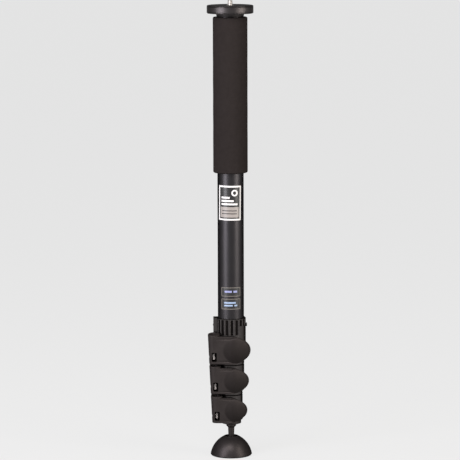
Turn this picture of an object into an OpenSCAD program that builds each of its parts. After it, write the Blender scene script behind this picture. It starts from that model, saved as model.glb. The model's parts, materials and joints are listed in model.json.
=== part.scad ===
// Four-section camera monopod with three flip locks and a ball-jointed domed foot.
// Millimetres. The origin is the centre of the sole, +Z runs up the leg and -Y is the front.

/* [Top plate] */
// Diameter of the camera plate
plate_d = 56.5; // [50:0.5:70]
// Thickness of the camera plate
plate_t = 9.7; // [8:0.1:12]
// Bevel on the plate's two edges
plate_bevel = 0.8; // [0.3:0.1:1.5]
// Depth of the fine grooves in the plate's rim and top face
plate_groove = 0.35; // [0.2:0.05:0.6]
// Height of the neck between the plate and the tube
neck_h = 4; // [3:0.5:8]
// Radial flare of the neck where it meets the plate
neck_flare = 1.4; // [0.5:0.1:3]
// Length of the spigot inside the top tube
spigot_len = 14; // [10:1:25]
// Wall of the spigot
spigot_wall = 4; // [3:0.5:6]
// Radius of the camera stud, quarter inch
stud_r = 3.175; // [3.175]
// Height of the camera stud above the plate
stud_h = 6; // [5:0.5:7]
// Radius of the stud's larger lower end, three eighths of an inch
stud_base_r = 4.7625; // [4.7625]

/* [Grip] */
// Outer diameter of the foam grip
grip_d = 42; // [39:0.5:48]
// Length of the foam grip
grip_len = 189; // [120:1:240]
// Rounding of the grip's ends
grip_round = 1.8; // [0.5:0.1:3]
// Distance from the grip's upper end to the end of the tube
grip_drop = 0.3; // [0.2:0.1:4]

/* [Tubes] */
// Outer diameter of the top tube
top_tube_d = 32; // [30:0.5:36]
// Length of the top tube
top_tube_len = 394; // [330:1:450]
// Wall of every tube
tube_wall = 1.5; // [1:0.1:1.6]
// Radial gap between one tube and the next
tube_gap = 0.5; // [0.4:0.05:1]
// Length of the guide bush on each inner tube
bush_len = 20; // [12:1:30]
// Slack left between a guide bush and its stop at full travel
stop_gap = 3; // [1:0.5:6]
// Room left above the second tube when the leg is folded
head_gap = 2; // [1:0.5:6]

/* [Locks] */
// Radial wall of the collars over their tubes
collar_wall = 2.2; // [2:0.1:3.5]
// Height of the upper collar
upper_collar_h = 51.7; // [50:0.1:62]
// Height of the middle collar
middle_collar_h = 37.4; // [36.5:0.1:46]
// Height of the lower collar
lower_collar_h = 37; // [36.5:0.1:44]
// Gap between one collar and the next when folded
collar_gap = 0.3; // [0.2:0.1:2]
// Depth that the top tube seats in the upper collar
upper_seat = 26; // [20:0.5:28]
// Depth that the other tubes seat in their collars
seat = 15; // [11:0.5:16]
// Thickness of the split shims
shim_t = 1.2; // [0.8:0.1:1.2]
// Width of the slit between the two ears
slit = 2; // [1:0.1:3]
// Distance of the upper T-bolt outside its collar's wall
bolt_out = 2.8; // [2.6:0.1:4]
// Extra distance of each T-bolt below it
bolt_step = 0.3; // [0:0.1:0.5]
// Inset of the ears behind the leaning side of the cam barrel
ear_inset = 0.3; // [0.1:0.1:1.5]
// Reach of the upper collar's clamp boss outside its wall
boss_out = 3.4; // [3.2:0.1:5]
// Half depth of the upper collar's clamp boss
boss_half = 6; // [5:0.5:7]
// Count of ribs around the upper collar
rib_count = 18; // [14:1:20]
// Height of the ribs above the grooves between them
rib_depth = 1.2; // [0.4:0.1:1.4]
// Width of the round ribs
rib_w = 4.2; // [3:0.1:4.6]
// Distance of the seam groove below the top of the two lower collars
seam_drop = 5.5; // [4:0.1:6]
// Width of the seam groove
seam_w = 1.5; // [0.8:0.1:2]
// Depth of the seam groove
seam_depth = 1; // [0.5:0.1:1.2]

/* [Levers] */
// Height of the upper lever
upper_lever_h = 34; // [31:0.5:36]
// Height of the middle lever
middle_lever_h = 32; // [31:0.5:33]
// Height of the lower lever
lower_lever_h = 31; // [30:0.5:32]
// Drop of the upper lever below the foot of its collar
upper_lever_drop = 3.3; // [1:0.1:4]
// Drop of the middle lever below the foot of its collar
middle_lever_drop = 2.8; // [1:0.1:4]
// Drop of the lower lever below the foot of its collar
lower_lever_drop = 2.1; // [1:0.1:3]
// Thickness of the lever's wrap
lever_t = 4.5; // [3.5:0.1:6]
// Gap between the lever and its collar
lever_gap = 0.5; // [0.3:0.1:1]
// Radius of the cam barrel at the top
barrel_top_r = 7.3; // [7:0.1:8]
// Radius of the cam barrel at the bottom
barrel_low_r = 5.6; // [5.4:0.1:7]
// Rise of the cam barrel's middle above the lever's wrap
barrel_up = 2.7; // [1.5:0.1:2.8]
// Slope of the cam barrel's top, up towards the back
barrel_slope = 8; // [0:1:9]
// Eccentricity of the cam barrel about its T-bar
cam_lift = 0.5; // [0.3:0.1:0.8]
// Gap between the closed cam and the ear
cam_gap = 0.3; // [0.2:0.1:0.6]
// Reach of the lever's tip to the right of the collar
tip_out = 5.6; // [4:0.1:7]
// Length of the rounded part of the lever
tip_round_len = 24; // [18:0.5:26]
// Swing of the lever from closed to open
lever_swing = 90; // [60:1:100]
// Height of the domed thumb pad above the lever's front
pad_rise = 1.5; // [0.5:0.1:2.5]
// Margin between the thumb pad and the lever's outline
pad_edge = 1.2; // [0.8:0.1:3]
// Height of the window's centre above the lever's foot
window_rise = 8.8; // [7.5:0.1:10]
// Width of the window
window_w = 6; // [5:0.1:6.4]
// Height of the window
window_h = 11.4; // [10.6:0.1:12.5]
// Rounding of the window's corners
window_round = 1.2; // [0.5:0.1:2]
// Radius of the pocket in the top of the barrel
pocket_r = 4.2; // [3:0.1:4.8]
// Depth of the pocket in the top of the barrel
pocket_h = 10; // [6:0.5:12]
// Shift of the pocket towards the lever's left end
pocket_shift = 1.5; // [0:0.1:1.6]

/* [Fasteners] */
// Radius of the T-bar that the lever turns on
bar_r = 1.35; // [1.3:0.05:1.6]
// Length of the T-bar
bar_len = 7; // [6:0.2:9]
// Radius of the T-bolt's shank
shank_r = 1.25; // [1.1:0.05:1.3]
// Width across the flats of the T-bolt's nut
nut_flats = 5.5; // [5:0.5:7]
// Thickness of the T-bolt's nut
nut_t = 3; // [2.4:0.1:5]
// Radius of the small screws
screw_r = 1.25; // [1:0.05:1.4]
// Radius of the small screws' heads
screw_head_r = 2.2; // [1.8:0.1:2.6]
// Height of the small screws' heads
screw_head_h = 1.5; // [1:0.1:2.5]
// Radius of the grub screws
grub_r = 2; // [1.5:0.1:2.5]
// Depth of the grub screws below the face that they enter
grub_inset = 0.2; // [0.1:0.1:0.5]

/* [Labels] */
// Thickness of the labels
label_t = 0.12; // [0.08:0.01:0.25]
// Height of the main label
main_label_h = 42.6; // [20:0.2:60]
// Width of the main label around the tube
main_label_w = 31; // [20:0.5:40]
// Turn of the main label to the left of the front
main_label_turn = 5; // [0:0.5:20]
// Distance of the main label below the grip
main_label_drop = 14.6; // [5:0.2:30]
// Width of the small stickers around the tube
sticker_w = 26; // [15:0.5:32]
// Height of the upper sticker
upper_sticker_h = 12; // [8:0.2:20]
// Height of the lower sticker
lower_sticker_h = 13.9; // [8:0.1:20]
// Gap between the two stickers
sticker_gap = 2; // [1:0.1:10]
// Height of the lower sticker above the upper collar
sticker_rise = 11.7; // [4:0.1:20]

/* [Foot] */
// Radius of the dome's rim
dome_r = 25.4; // [24.5:0.1:27]
// Radius of the arc of the dome's flank
dome_arc_r = 30.6; // [28:0.1:34]
// Depth of that arc's centre below the floor
dome_sink = 3.7; // [2:0.1:5]
// Height of the dome
dome_h = 24.1; // [23.5:0.1:24.3]
// Rounding of the dome's rim
rim_round = 1.7; // [0.8:0.1:2.5]
// Radius of the dome's mouth
mouth_r = 7; // [6.9:0.1:7.4]
// Narrowing of the mouth down to the sockets
mouth_taper = 0.9; // [0.6:0.1:1]
// Radius of the foot's ball
ball_r = 6.5; // [6:0.1:7]
// Height of the ball's centre above the floor
ball_z = 13.5; // [13:0.1:14]
// Tilt of the foot to each side
foot_tilt = 14; // [8:1:15]
// Outer radius of the sockets
socket_r = 12; // [10.5:0.5:12.5]
// Thickness of the rubber sole pad
pad_t = 2; // [1.5:0.1:3]
// Radius of the sole pad and the sole plate
sole_r = 19.5; // [18:0.5:21]
// Height of the sole plate's upper face above the floor
sole_top = 5.8; // [5:0.1:6.2]
// Recess of the dome's rim above the sole pad
rim_lift = 0.3; // [0.2:0.1:1]
// Radius of the stem at the ball
stem_low_r = 3.4; // [2.8:0.1:3.4]
// Radius of the stem under its collar
stem_top_r = 3.9; // [3.4:0.1:4.2]
// Radius of the stem's collar
stem_collar_r = 5.9; // [4.7:0.1:6.4]
// Height of the stem's collar
stem_collar_h = 4; // [3:0.5:6]
// Length of the stem between the dome and its collar
stem_len = 10.5; // [9.5:0.1:20]
// Length of the end plug inside the bottom tube
plug_len = 20; // [14:1:30]
// Radius of the end plug's nose
nose_r = 7.2; // [6:0.1:9]
// Height of the end plug's nose
nose_h = 1.8; // [1:0.1:4]
// Height of the end plug's cup around the tube
cup_h = 4.6; // [2:0.1:8]
// Radial wall of the end plug's cup
cup_wall = 2.2; // [0.8:0.1:2.4]

/* [Fits] */
// Radial clearance of a running fit
run = 0.05; // [0.03:0.01:0.08]
// Clearance between pieces fixed to each other
fit = 0.02; // [0.01:0.01:0.05]
// Clearance around a bolt that passes through
pass = 0.3; // [0.2:0.05:0.4]

/* [Hidden] */
$fn = 72;

// Colours of the finishes
black_anodised = [0.16, 0.16, 0.17];
black_plastic = [0.21, 0.20, 0.20];
foam_black = [0.15, 0.14, 0.14];
foot_rubber = [0.22, 0.21, 0.22];
steel = [0.75, 0.74, 0.72];
nylon = [0.85, 0.85, 0.82];
label_black = [0.12, 0.12, 0.13];

// Overrun of a cut past the face that it opens
cut = 1;

// Outer and inner radii of the four tubes, from the top one down
tube_r = [for (i = [0:3]) top_tube_d / 2 - i * (tube_wall + tube_gap)];
bore_r = [for (r = tube_r) r - tube_wall];

// Heights of the three collars, from the floor up
stem_collar_z = dome_h + stem_len;
nose_z = stem_collar_z + stem_collar_h;
cup_z = nose_z + nose_h;
collar_h = [upper_collar_h, middle_collar_h, lower_collar_h];
lower_z = cup_z + cup_h + collar_gap;
middle_z = lower_z + lower_collar_h + collar_gap;
upper_z = middle_z + middle_collar_h + collar_gap;
collar_z = [upper_z, middle_z, lower_z];
collar_top = [for (i = [0:2]) collar_z[i] + collar_h[i]];
collar_r = [for (i = [0:2]) tube_r[i] + collar_wall];
seat_depth = [upper_seat, seat, seat];
seat_z = [for (i = [0:2]) collar_top[i] - seat_depth[i]];
clamp_r = [for (i = [0:2]) tube_r[i + 1] + run + shim_t + fit];
seam_foot = seam_drop + seam_w / 2;
collar_screw_z = [for (i = [0:2]) collar_top[i] - (seam_foot + seat_depth[i]) / 2];
collar_bevel = 0.6;

// Levels of the leg above the locks, and the step of the plate's neck over the tube
neck_step = 0.3;
tube_top = seat_z[0] + top_tube_len;
plate_z = tube_top + neck_h;
plate_top = plate_z + plate_t;
grip_z = tube_top - grip_drop - grip_len;
spigot_z = tube_top - spigot_len;

// Travel of every section, and the ends of the inner tubes
second_top = spigot_z - head_gap;
travel = second_top - bush_len - stop_gap - seat_z[0];
inner_top = [for (i = [0:2]) seat_z[i] + travel + stop_gap + bush_len];
bottom_end = cup_z + fit;
inner_end = [seat_z[1], seat_z[2], bottom_end];

// Levers and their T-bars
lever_h = [upper_lever_h, middle_lever_h, lower_lever_h];
lever_drop = [upper_lever_drop, middle_lever_drop, lower_lever_drop];
lever_z = [for (i = [0:2]) collar_z[i] - lever_drop[i]];
bolt_z = [for (z = lever_z) z + window_rise];
bar_x = [for (i = [0:2]) -(collar_r[i] + bolt_out + i * bolt_step)];
barrel_reach = barrel_top_r + cam_lift + cam_gap;
bar_y = [for (i = [0:2]) -sqrt(pow(collar_r[i] + barrel_reach, 2) - pow(bar_x[i], 2))];
ear_y = [for (y = bar_y) -(y + barrel_reach)];
ear_foot = 1;
ear_drop = 3;
ear_top = [lever_z[0] + lever_h[0] - ear_drop, collar_top[1] - ear_foot, collar_top[2] - ear_foot];
ear_bevel = 1.5;
seam_margin = 4;
barrel_lean = [for (h = lever_h) (barrel_top_r - barrel_low_r) / (h + barrel_up)];
tip_turn = 20;
tip_nose = 1;
outline_steps = 24;
wrap_from = -140;
wrap_steps = 20;
turn_steps = 8;

// A point at an angle on a circle about the leg's axis
function on_circle(r, angle) = [r * cos(angle), r * sin(angle)];

// Direction along the lever's straight tip, the way out of its front face, and its length
tip_along = on_circle(1, tip_turn);
tip_out_of = on_circle(1, tip_turn - 90);
wrap_inner = [for (r = collar_r) r + lever_gap];
wrap_outer = [for (r = wrap_inner) r + lever_t];
tip_x = [for (r = collar_r) r + tip_out];
tip_len = [for (i = [0:2]) (tip_x[i] - wrap_outer[i] * sin(tip_turn)) / cos(tip_turn) + tip_nose];
tip_end = [for (i = [0:2]) wrap_outer[i] * tip_out_of + tip_len[i] * tip_along];

// The large ball whose front makes the thumb pad
pad_left = [for (i = [0:2]) [-tip_x[i] / 2, -wrap_outer[i]]];
pad_mid = [for (i = [0:2]) (pad_left[i] + tip_end[i]) / 2];
pad_chord = [for (i = [0:2]) tip_end[i] - pad_left[i]];
pad_half = [for (c = pad_chord) norm(c) / 2];
pad_out_of = [for (c = pad_chord) [c[1], -c[0]] / norm(c)];
pad_sag = [for (i = [0:2]) wrap_outer[i] - norm(pad_mid[i]) + pad_rise];
pad_ball_r = [for (i = [0:2]) (pow(pad_half[i], 2) + pow(pad_sag[i], 2)) / (2 * pad_sag[i])];
pad_ball_at = [for (i = [0:2]) pad_mid[i] + (pad_sag[i] - pad_ball_r[i]) * pad_out_of[i]];

// Place of the cap screw that closes the upper collar on the top tube, blind at the front
clamp_screw_x = -(collar_r[0] + boss_out / 2);
clamp_screw_z = (collar_top[0] + lever_z[0] + lever_h[0]) / 2;
clamp_screw_skin = 1.5;

// Rows of ribs on the upper collar: a full row over most of it, a short row on the plain right side
rib_start = -6;
rib_margin = 1.2;
rib_step_h = 9;
plain_from = 24;
plain_to = 66;
rib_pitch = 360 / rib_count;
boss_reach = asin(boss_half / collar_r[0]) + rib_pitch / 2;
screw_reach = asin(screw_head_r / collar_r[0]) + rib_pitch / 2;

// Foot levels
socket_top = 19.8;
ball_flat = 5.5;
ball_pin_r = 2.2;
ball_pin_len = 9;
socket_open_r = 4.9;
thread_r = 4;
thread_len = 14;
sole_screw_count = 3;
sole_screw_at = (socket_r + sole_r) / 2;
sole_screw_len = 5;
sole_screw_bevel = 1.3;

// A straight tube from z0 to z1
module pipe(r, inner, z0, z1) {
    difference() {
        translate([0, 0, z0]) cylinder(r = r, h = z1 - z0);
        translate([0, 0, z0 - cut]) cylinder(r = inner, h = z1 - z0 + 2 * cut);
    }
}

// A curved strip on the top tube, centred at an angle from the front, positive to the right
module strip(width, h, z, turn) {
    r = tube_r[0] + fit;
    span = width / r * 180 / PI;
    translate([0, 0, z]) rotate([0, 0, -90 + turn - span / 2]) rotate_extrude(angle = span)
        translate([r, 0]) square([label_t, h]);
}

// A round bar along +Y from y0 to y1
module bar_y(r, x, y0, y1, z, sides = $fn) {
    translate([x, y0, z]) rotate([-90, 0, 0]) cylinder(r = r, h = y1 - y0, $fn = sides);
}

// A round bar along +X from x0 to x1
module bar_x(r, x0, x1, z) {
    translate([x0, 0, z]) rotate([0, 90, 0]) cylinder(r = r, h = x1 - x0);
}

// Camera plate and its stud

module camera_stud() {
    color(steel) {
        translate([0, 0, plate_top]) cylinder(r = stud_r, h = stud_h);
        translate([0, 0, plate_z]) cylinder(r = stud_base_r, h = plate_t);
    }
}

// A V groove centred at a point, cut in the direction of inward, listed along the direction of travel
function v_groove(centre, inward, travel) = [
    centre - plate_groove * travel, centre + plate_groove * inward, centre + plate_groove * travel
];

// Profile of the plate, with grooves in the rim and in the top face
module plate_profile() {
    r = plate_d / 2;
    rim_pitch = plate_t / 3;
    face_pitch = r / 9;
    polygon(concat(
        [[0, 0], [r - plate_bevel, 0], [r, plate_bevel]],
        [for (k = [-1, 1], p = v_groove([r, plate_t / 2 + k * rim_pitch], [-1, 0], [0, 1])) p],
        [[r, plate_t - plate_bevel], [r - plate_bevel, plate_t]],
        [for (k = [1:5], p = v_groove([r - (k + 0.5) * face_pitch, plate_t], [0, -1], [-1, 0])) p],
        [[0, plate_t]]
    ));
}

module top_plate() {
    spigot_r = bore_r[0] - fit;
    cup_r = spigot_r - spigot_wall;
    color(black_anodised) difference() {
        union() {
            translate([0, 0, plate_z]) rotate_extrude() plate_profile();
            translate([0, 0, tube_top])
                cylinder(r1 = tube_r[0] + neck_step, r2 = tube_r[0] + neck_flare, h = neck_h);
            translate([0, 0, spigot_z]) cylinder(r = spigot_r, h = spigot_len + neck_h);
        }
        translate([0, 0, plate_z]) cylinder(r = stud_base_r + fit, h = plate_t + cut);
        translate([0, 0, spigot_z - cut]) cylinder(r = cup_r, h = spigot_len - neck_h + cut);
        bar_y(grub_r + fit, 0, 0, plate_d, plate_z + plate_t / 2);
        for (side = [0, 180]) rotate([0, 0, side])
            bar_x(grub_r + fit, cup_r - cut, tube_r[0] + cut, spigot_z + spigot_len / 2);
    }
}

module stud_set_screw() {
    color(steel) bar_y(grub_r, 0, stud_base_r + fit, plate_d / 2 - 2 * plate_bevel, plate_z + plate_t / 2);
}

module plate_grub_screws() {
    color(steel) for (side = [0, 180]) rotate([0, 0, side])
        bar_x(grub_r, bore_r[0] - spigot_wall, tube_r[0] - grub_inset, spigot_z + spigot_len / 2);
}

// Top tube, its grip and its labels

module top_tube() {
    color(black_anodised) difference() {
        pipe(tube_r[0], bore_r[0], seat_z[0], tube_top);
        for (side = [0, 180]) rotate([0, 0, side])
            bar_x(grub_r + fit, bore_r[0] - cut, tube_r[0] + cut, spigot_z + spigot_len / 2);
        bar_x(screw_r + fit, bore_r[0] - cut, tube_r[0] + cut, collar_top[0] - rib_step_h);
    }
}

module foam_grip() {
    inner = tube_r[0] + fit;
    outer = grip_d / 2;
    color(foam_black) translate([0, 0, grip_z]) rotate_extrude() {
        translate([inner, 0]) square([outer - grip_round - inner, grip_len]);
        translate([inner, grip_round]) square([outer - inner, grip_len - 2 * grip_round]);
        for (z = [grip_round, grip_len - grip_round])
            translate([outer - grip_round, z]) circle(r = grip_round);
    }
}

module main_label() {
    z = grip_z - main_label_drop - main_label_h;
    color(label_black) strip(main_label_w, main_label_h, z, -main_label_turn);
}

module upper_sticker() {
    color(label_black)
        strip(sticker_w, upper_sticker_h, collar_top[0] + sticker_rise + lower_sticker_h + sticker_gap, 0);
}

module lower_sticker() {
    color(label_black) strip(sticker_w, lower_sticker_h, collar_top[0] + sticker_rise, 0);
}

// Inner tubes and their guide bushes

module inner_tube(i) {
    color(black_anodised) difference() {
        pipe(tube_r[i + 1], bore_r[i + 1], inner_end[i], inner_top[i]);
        if (i < 2) bar_y(screw_r + fit, 0, bore_r[i + 1] - cut, tube_r[i + 1] + cut, collar_screw_z[i + 1]);
    }
}

module guide_bush(i) {
    color(nylon) pipe(bore_r[i] - run, tube_r[i + 1] + fit, inner_top[i] - bush_len, inner_top[i]);
}

module second_tube() { inner_tube(0); }
module third_tube() { inner_tube(1); }
module bottom_tube() { inner_tube(2); }
module second_bush() { guide_bush(0); }
module third_bush() { guide_bush(1); }
module bottom_bush() { guide_bush(2); }

// Lock collars

// Outer edge of the ears at a height, just inside the leaning side of the barrel
function ear_x(i, z) = bar_x[i] - barrel_low_r - (z - lever_z[i]) * barrel_lean[i] + ear_inset;

// Plan of the two ears: a block with bevelled outer corners, reaching into the ring
module ear_plan(i) {
    x = ear_x(i, ear_top[i]);
    y = ear_y[i];
    inside = -bore_r[i];
    polygon([
        [inside, -y], [x + ear_bevel, -y], [x, -y + ear_bevel],
        [x, y - ear_bevel], [x + ear_bevel, y], [inside, y]
    ]);
}

// The ears before the slit parts them, cut to the lean of the barrel in front of them
module ears(i) {
    z = collar_z[i] + ear_foot;
    top = ear_top[i];
    intersection() {
        translate([0, 0, z]) linear_extrude(top - z) ear_plan(i);
        translate([0, ear_y[i] + cut, 0]) rotate([90, 0, 0]) linear_extrude(2 * (ear_y[i] + cut)) polygon([
            [0, z - cut], [ear_x(i, z - cut), z - cut],
            [ear_x(i, top + cut), top + cut], [0, top + cut]
        ]);
    }
}

// Ring, ears, bores and slit that all three collars have
module collar_body(i) {
    z = collar_z[i];
    top = collar_top[i];
    difference() {
        union() {
            translate([0, 0, z]) cylinder(r = collar_r[i], h = collar_h[i] - collar_bevel);
            translate([0, 0, top - collar_bevel])
                cylinder(r1 = collar_r[i], r2 = collar_r[i] - collar_bevel, h = collar_bevel);
            ears(i);
            children();
        }
        translate([0, 0, z - cut]) cylinder(r = clamp_r[i], h = collar_h[i] + 2 * cut);
        translate([0, 0, seat_z[i]]) cylinder(r = tube_r[i] + fit, h = seat_depth[i] + cut);
        bar_y(shank_r + pass, bar_x[i], -ear_y[i] - cut, ear_y[i] + cut, bolt_z[i]);
        translate([-2 * collar_r[i], -slit / 2, z - cut])
            cube([2 * collar_r[i] - clamp_r[i] / 2, slit, collar_h[i] + 2 * cut]);
    }
}

// One groove from the crest of a rib to the crest of the next
module rib_groove(h) {
    crest = collar_r[0] - rib_w / 2;
    difference() {
        rotate_extrude(angle = rib_pitch)
            translate([collar_r[0] - rib_depth, 0]) square([rib_depth + cut, h]);
        for (turn = [0, rib_pitch]) rotate([0, 0, turn])
            translate([crest, 0, -cut]) cylinder(r = rib_w / 2, h = h + 2 * cut);
    }
}

// Grooves between the ribs of the upper collar
module rib_grooves() {
    low = lever_z[0] + lever_h[0] + rib_margin;
    high = collar_top[0] - rib_margin;
    for (k = [0:rib_count - 1]) {
        turn = rib_start + (k + 0.5) * rib_pitch;
        angle = turn > 180 ? turn - 360 : turn;
        z = angle > plain_from && angle < plain_to ? collar_top[0] - rib_step_h : low;
        clear_of_boss = abs(angle + 90) > boss_reach;
        clear_of_screw = abs(angle - 90) > screw_reach;
        if (clear_of_boss && clear_of_screw)
            translate([0, 0, z]) rotate([0, 0, angle - 90 - rib_pitch / 2]) rib_groove(high - z);
    }
}

module upper_collar() {
    boss_x = collar_r[0] + boss_out;
    boss_z = ear_top[0] - cut;
    screw_z = collar_top[0] - rib_step_h;
    color(black_plastic) difference() {
        collar_body(0)
            translate([-boss_x, -boss_half, boss_z])
                cube([boss_x - bore_r[0], 2 * boss_half, collar_top[0] - boss_z]);
        rib_grooves();
        bar_x(screw_r + fit, tube_r[0] - cut, collar_r[0] + cut, screw_z);
        bar_y(screw_r + fit, clamp_screw_x, clamp_screw_skin - boss_half, boss_half + cut, clamp_screw_z);
    }
}

// Seam groove around a collar, from one ear to the other
module seam_groove(i) {
    reach = 180 - asin(ear_y[i] / collar_r[i]) - seam_margin;
    translate([0, 0, collar_top[i] - seam_foot]) rotate([0, 0, -reach]) rotate_extrude(angle = 2 * reach)
        translate([collar_r[i] - seam_depth, 0]) square([seam_depth + cut, seam_w]);
}

module lower_locks_collar(i) {
    color(black_plastic) difference() {
        collar_body(i);
        seam_groove(i);
        bar_y(screw_r + fit, 0, bore_r[i], collar_r[i] + cut, collar_screw_z[i]);
    }
}

module middle_collar() { lower_locks_collar(1); }
module lower_collar() { lower_locks_collar(2); }

// Split shim between a collar and the tube that it clamps
module shim(i) {
    color(nylon) difference() {
        pipe(clamp_r[i] - fit, tube_r[i + 1] + run, collar_z[i] + ear_foot, seat_z[i] - fit);
        translate([-2 * collar_r[i], -slit / 2, collar_z[i]]) cube([2 * collar_r[i], slit, collar_h[i]]);
    }
}

module upper_shim() { shim(0); }
module middle_shim() { shim(1); }
module lower_shim() { shim(2); }

// T-bolt with its vertical bar in front and its shank through both ears
module t_bolt(i) {
    color(steel) {
        translate([bar_x[i], bar_y[i], bolt_z[i] - bar_len / 2]) cylinder(r = bar_r, h = bar_len);
        bar_y(shank_r, bar_x[i], bar_y[i], ear_y[i] + nut_t + cut, bolt_z[i]);
    }
}

module upper_t_bolt() { t_bolt(0); }
module middle_t_bolt() { t_bolt(1); }
module lower_t_bolt() { t_bolt(2); }

module lock_nut(i) {
    color(steel) difference() {
        bar_y(nut_flats / 2 / cos(30), bar_x[i], ear_y[i], ear_y[i] + nut_t, bolt_z[i], 6);
        bar_y(shank_r + fit, bar_x[i], ear_y[i] - cut, ear_y[i] + nut_t + cut, bolt_z[i]);
    }
}

module upper_nut() { lock_nut(0); }
module middle_nut() { lock_nut(1); }
module lower_nut() { lock_nut(2); }

// Small screws that hold the collars

module upper_collar_screw() {
    z = collar_top[0] - rib_step_h;
    color(steel) {
        bar_x(screw_r, bore_r[0] + fit, collar_r[0] + fit, z);
        bar_x(screw_head_r, collar_r[0] + fit, collar_r[0] + fit + screw_head_h, z);
    }
}

module upper_clamp_screw() {
    color(steel) {
        bar_y(screw_r, clamp_screw_x, clamp_screw_skin - boss_half + fit, boss_half, clamp_screw_z);
        bar_y(screw_head_r, clamp_screw_x, boss_half, boss_half + screw_head_h, clamp_screw_z);
    }
}

module collar_screw(i) {
    face = collar_r[i] + fit;
    color(steel) {
        bar_y(screw_r, 0, bore_r[i] + fit, face, collar_screw_z[i]);
        bar_y(screw_head_r, 0, face, face + screw_head_h, collar_screw_z[i]);
    }
}

module middle_collar_screw() { collar_screw(1); }
module lower_collar_screw() { collar_screw(2); }

// Flip levers

// Points of an arc about the leg's axis
function arc(r, from, to, steps) = [for (k = [0:steps]) on_circle(r, from + (to - from) * k / steps)];

// Points of half an ellipse to the right of x, from its foot to its top
function half_ellipse(x, z, across, half) = [
    for (k = [0:outline_steps])
        let (t = -90 + 180 * k / outline_steps)
        [x + across * cos(t), z + half * sin(t)]
];

// Outline of a lever from the front: square to the left, half an ellipse to the right
function lever_outline(left, right, h) = concat(
    [[left, 0]],
    half_ellipse(right - tip_round_len, h / 2, tip_round_len, h / 2),
    [[left, h]]
);

// Plan of a lever: flat front web from the barrel, arc round the collar, straight tip
module lever_plan(i) {
    polygon(concat(
        [[bar_x[i], bar_y[i]], [bar_x[i], bar_y[i] + cam_lift - barrel_low_r]],
        arc(wrap_outer[i], -90, tip_turn - 90, turn_steps),
        [tip_end[i], tip_end[i] - lever_t * tip_out_of],
        arc(wrap_inner[i], tip_turn - 90, wrap_from, wrap_steps)
    ));
}

// Domed thumb pad: the part of a large ball that stands in front of the middle of the wrap
module thumb_pad(i) {
    far = 3 * wrap_outer[i];
    middle = (wrap_inner[i] + wrap_outer[i]) / 2;
    wide = pad_half[i] - pad_edge;
    tall = lever_h[i] / 2 - pad_edge;
    intersection() {
        translate([pad_ball_at[i][0], pad_ball_at[i][1], lever_h[i] / 2])
            sphere(r = pad_ball_r[i], $fn = 96);
        linear_extrude(lever_h[i]) polygon(concat(
            arc(middle, wrap_from, tip_turn - 90, wrap_steps),
            [tip_end[i] - lever_t / 2 * tip_out_of + far * tip_along, [far, -far], [-far, -far]]
        ));
        rotate([90, 0, 0]) linear_extrude(far) polygon(concat(
            half_ellipse(pad_mid[i][0], lever_h[i] / 2, wide, tall),
            half_ellipse(pad_mid[i][0], lever_h[i] / 2, -wide, -tall)
        ));
    }
}

// Slot that the shank sweeps while the lever opens, seen from the lever
module shank_slot() {
    half = shank_r + pass;
    reach = 3 * barrel_top_r;
    for (turn = [0, lever_swing]) rotate([0, 0, turn]) bar_y(half, 0, 0, reach, 0);
    translate([0, 0, -half]) rotate([0, 0, 90])
        rotate_extrude(angle = lever_swing) square([reach, 2 * half]);
}

// Window with rounded corners, cut from the front to the T-bar
module window_cut() {
    reach = 3 * barrel_top_r;
    wide = window_w - 2 * window_round;
    tall = window_h - 2 * window_round;
    for (x = [-wide / 2, wide / 2], z = [-tall / 2, tall / 2]) bar_y(window_round, x, -reach, 0, z);
    translate([-window_w / 2, -reach, -tall / 2]) cube([window_w, reach, tall]);
    translate([-wide / 2, -reach, -window_h / 2]) cube([wide, reach, window_h]);
}

module lever(i) {
    left = bar_x[i] - barrel_top_r - cut;
    barrel_h = lever_h[i] + barrel_up;
    far = 4 * barrel_top_r;
    color(black_plastic) translate([0, 0, lever_z[i]]) difference() {
        union() {
            translate([bar_x[i], bar_y[i] + cam_lift, 0]) difference() {
                union() {
                    cylinder(r1 = barrel_low_r, r2 = barrel_top_r, h = barrel_h);
                    translate([0, 0, barrel_h]) cylinder(r = barrel_top_r, h = barrel_up);
                }
                translate([0, 0, barrel_h]) rotate([barrel_slope, 0, 0])
                    translate([-far / 2, -far / 2, 0]) cube(far);
            }
            intersection() {
                linear_extrude(lever_h[i]) lever_plan(i);
                rotate([90, 0, 0]) linear_extrude(2 * wrap_outer[i])
                    polygon(lever_outline(left, tip_x[i], lever_h[i]));
            }
            thumb_pad(i);
        }
        translate([bar_x[i], bar_y[i], window_rise]) {
            shank_slot();
            window_cut();
            translate([0, 0, -bar_len / 2 - pass]) cylinder(r = bar_r + run, h = bar_len + 2 * pass);
        }
        translate([bar_x[i] - pocket_shift, bar_y[i] + cam_lift, barrel_h - pocket_h])
            cylinder(r = pocket_r, h = pocket_h + barrel_up);
    }
}

module upper_lever() { lever(0); }
module middle_lever() { lever(1); }
module lower_lever() { lever(2); }

// Lower end of the leg

// End plug: a nose, a spigot inside the bottom tube and a cup around its end
module end_plug() {
    cup_r = tube_r[3] + fit + cup_wall;
    color(black_anodised) difference() {
        union() {
            translate([0, 0, nose_z]) cylinder(r1 = nose_r, r2 = cup_r, h = nose_h);
            translate([0, 0, cup_z]) cylinder(r = bore_r[3] - fit, h = plug_len);
            pipe(cup_r, tube_r[3] + fit, cup_z, cup_z + cup_h);
        }
        translate([0, 0, nose_z - cut]) cylinder(r = thread_r + fit, h = thread_len + 2 * cut);
    }
}

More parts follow.
